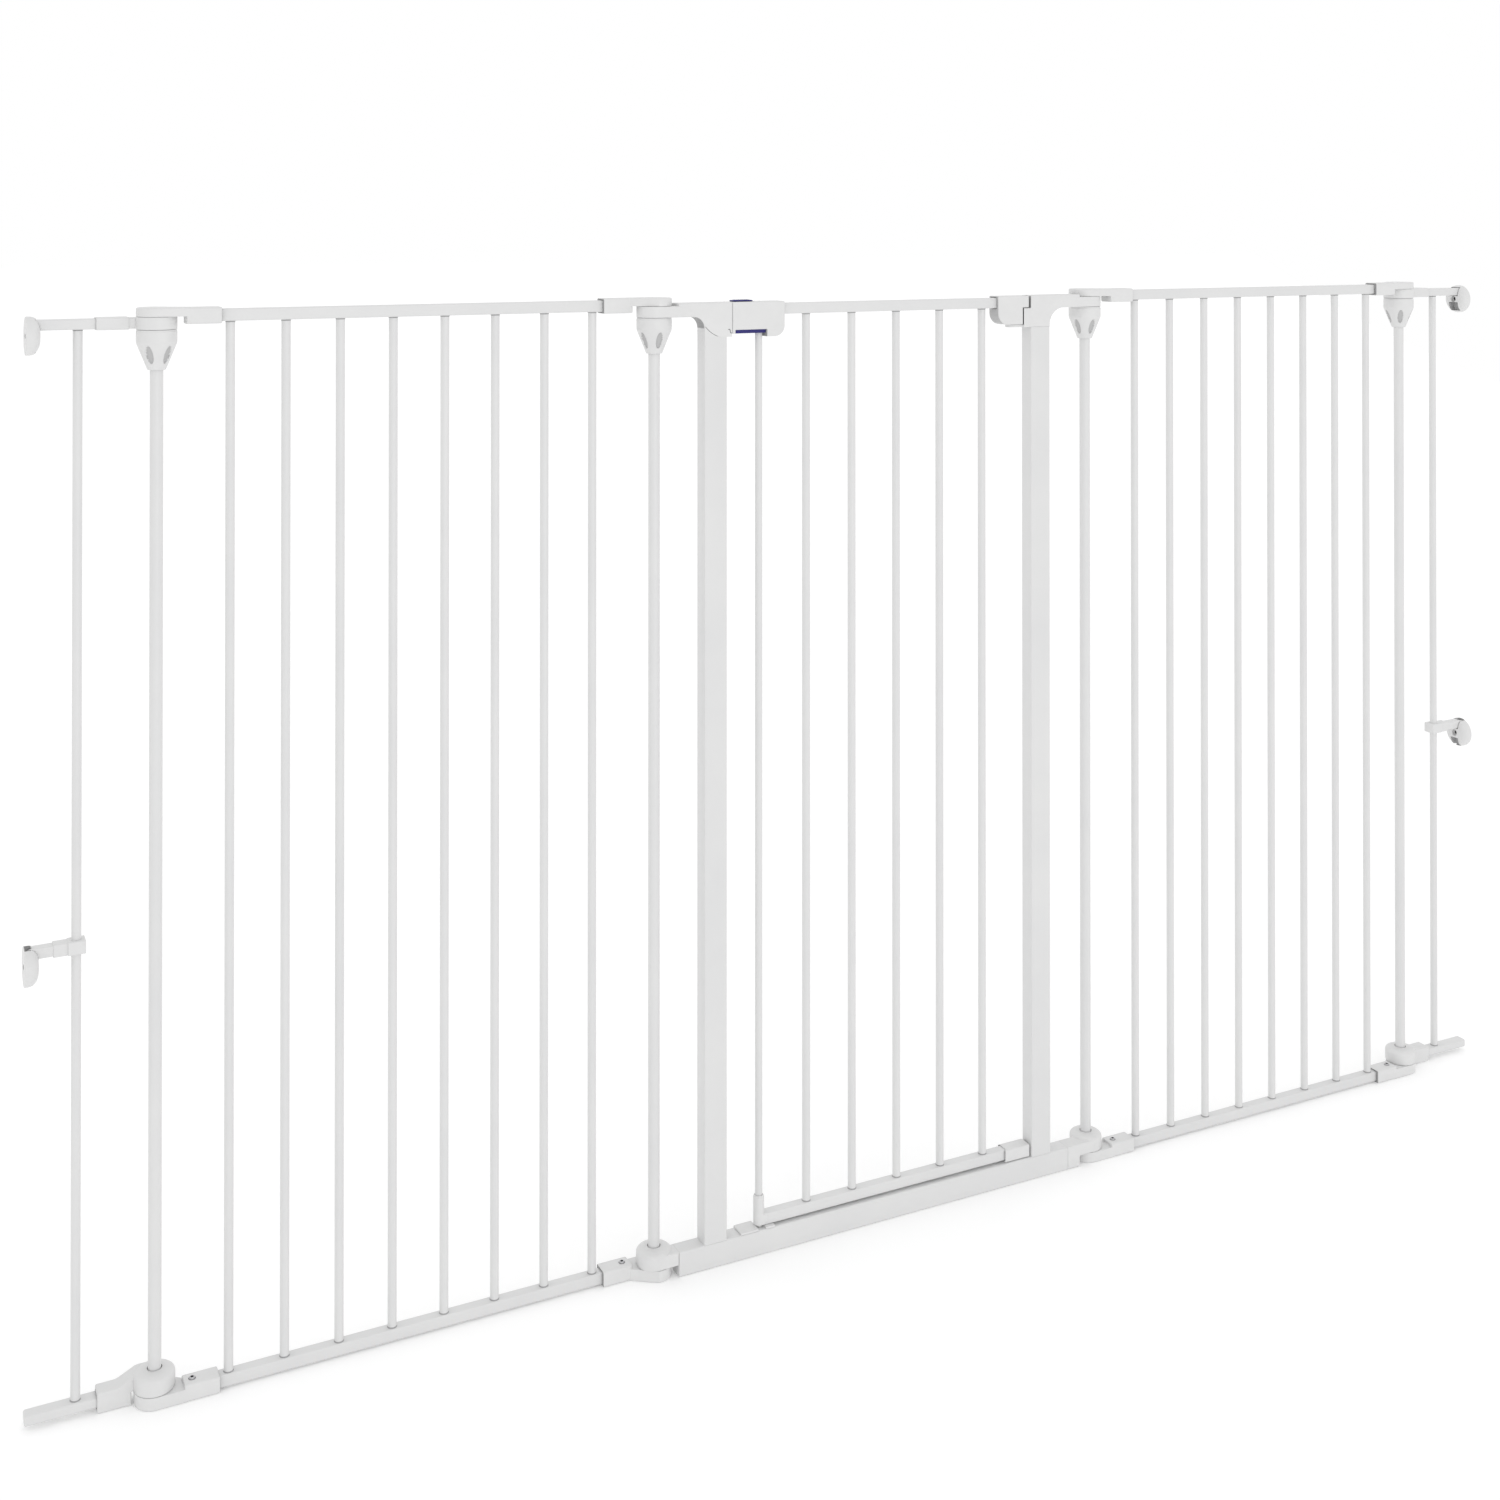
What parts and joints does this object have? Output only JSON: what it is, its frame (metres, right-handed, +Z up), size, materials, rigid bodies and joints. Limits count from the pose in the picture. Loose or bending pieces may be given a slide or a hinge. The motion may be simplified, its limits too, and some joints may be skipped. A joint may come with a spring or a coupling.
{
  "type": "safety gate",
  "caption": "Folding wall-mounted safety gate with barred panels, a swinging door in its own frame, post hinges with lock collars and a lift-and-slide latch.",
  "frame": {"origin": "at the floor under the second hinge joint, in the plane of the door frame (9 mm in front of the joint's axis)", "axes": "+X along the gate towards the hinge side of the door, +Y away from the viewer, +Z up"},
  "size_m": [1.823, 0.0642, 1.041],
  "materials": {
    "coated_steel": "satin powder coat",
    "white_plastic": "fine moulded texture",
    "navy_plastic": "moulded",
    "bare_steel": "zinc plated"
  },
  "bodies": {
    "left_end": {"left_end_top_arm": "white_plastic", "left_end_bottom_arm": "white_plastic", "left_end_top_rail": "coated_steel", "left_end_bottom_rail": "coated_steel", "left_end_bar": "coated_steel", "left_end_top_pad": "white_plastic", "left_end_mid_pad": "white_plastic", "left_end_mid_arm": "white_plastic", "hinge_post_1": "coated_steel"},
    "panel_1": {"panel_1_top_rail": "coated_steel", "panel_1_bottom_rail": "coated_steel", "panel_1_bars": "coated_steel", "panel_1_top_arm_left": "white_plastic", "panel_1_top_arm_right": "white_plastic", "panel_1_bottom_arm_left": "white_plastic", "panel_1_bottom_arm_right": "white_plastic", "panel_1_clamp_screws": "bare_steel"},
    "frame": {"frame_rail": "coated_steel", "frame_post_left": "coated_steel", "frame_post_right": "coated_steel", "frame_foot_left": "white_plastic", "frame_foot_right": "white_plastic", "catch_housing": "white_plastic", "hinge_housing": "white_plastic", "hinge_pins": "bare_steel", "catch_plate": "white_plastic", "hinge_post_2": "coated_steel", "hinge_post_3": "coated_steel"},
    "panel_2": {"panel_2_top_rail": "coated_steel", "panel_2_bottom_rail": "coated_steel", "panel_2_bars": "coated_steel", "panel_2_top_arm_left": "white_plastic", "panel_2_top_arm_right": "white_plastic", "panel_2_bottom_arm_left": "white_plastic", "panel_2_bottom_arm_right": "white_plastic", "panel_2_clamp_screws": "bare_steel"},
    "right_end": {"right_end_top_arm": "white_plastic", "right_end_bottom_arm": "white_plastic", "right_end_top_rail": "coated_steel", "right_end_bottom_rail": "coated_steel", "right_end_bar": "coated_steel", "right_end_top_pad": "white_plastic", "right_end_mid_pad": "white_plastic", "right_end_mid_arm": "white_plastic", "hinge_post_4": "coated_steel"},
    "door": {"door_top_rail": "coated_steel", "door_bottom_rail": "coated_steel", "door_bars": "coated_steel", "door_elbow": "white_plastic", "door_hinge_sleeve": "white_plastic", "door_hinge_housing": "white_plastic", "latch_housing": "white_plastic", "latch_springs": "bare_steel"},
    "lock_rod": {"lock_rod": "coated_steel", "lift_trigger": "navy_plastic"},
    "thumb_slider": {"thumb_slider": "navy_plastic"},
    "lock_collar_1": {"lock_collar_1": "white_plastic"},
    "lock_collar_2": {"lock_collar_2": "white_plastic"},
    "lock_collar_3": {"lock_collar_3": "white_plastic"},
    "lock_collar_4": {"lock_collar_4": "white_plastic"}
  },
  "joints": [
    {"name": "fold_1", "type": "hinge", "parent": "left_end", "child": "panel_1", "pos_m": [-0.51, 0.027, 0], "axis": [0, 0, 1], "range_deg": [-90, 90]},
    {"name": "fold_2", "type": "hinge", "parent": "panel_1", "child": "frame", "pos_m": [0, 0.009, 0], "axis": [0, 0, 1], "range_deg": [-90, 90]},
    {"name": "fold_3", "type": "hinge", "parent": "frame", "child": "panel_2", "pos_m": [0.564, 0.009, 0], "axis": [0, 0, 1], "range_deg": [-90, 90]},
    {"name": "fold_4", "type": "hinge", "parent": "panel_2", "child": "right_end", "pos_m": [1.074, 0.009, 0], "axis": [0, 0, 1], "range_deg": [-90, 90]},
    {"name": "door_swing", "type": "hinge", "parent": "frame", "child": "door", "pos_m": [0.4525, 0, 0], "axis": [0, 0, 1], "range_deg": [-90, 90]},
    {"name": "rod_lift", "type": "slide", "parent": "door", "child": "lock_rod", "axis": [0, 0, 1], "range_m": [0, 0.01], "stiffness_N_per_m": 200, "deforming": ["latch_springs"]},
    {"name": "thumb_slide", "type": "slide", "parent": "door", "child": "thumb_slider", "axis": [1, 0, 0], "range_m": [0, 0.008], "stiffness_N_per_m": 100},
    {"name": "collar_turn_1", "type": "hinge", "parent": "left_end", "child": "lock_collar_1", "pos_m": [-0.51, 0.027, 0.001], "axis": [0, 0, 1], "range_deg": [0, 90]},
    {"name": "collar_turn_2", "type": "hinge", "parent": "frame", "child": "lock_collar_2", "pos_m": [0, 0.009, 0.001], "axis": [0, 0, 1], "range_deg": [0, 90]},
    {"name": "collar_turn_3", "type": "hinge", "parent": "frame", "child": "lock_collar_3", "pos_m": [0.564, 0.009, 0.001], "axis": [0, 0, 1], "range_deg": [0, 90]},
    {"name": "collar_turn_4", "type": "hinge", "parent": "right_end", "child": "lock_collar_4", "pos_m": [1.074, 0.009, 0.001], "axis": [0, 0, 1], "range_deg": [0, 90]}
  ]
}
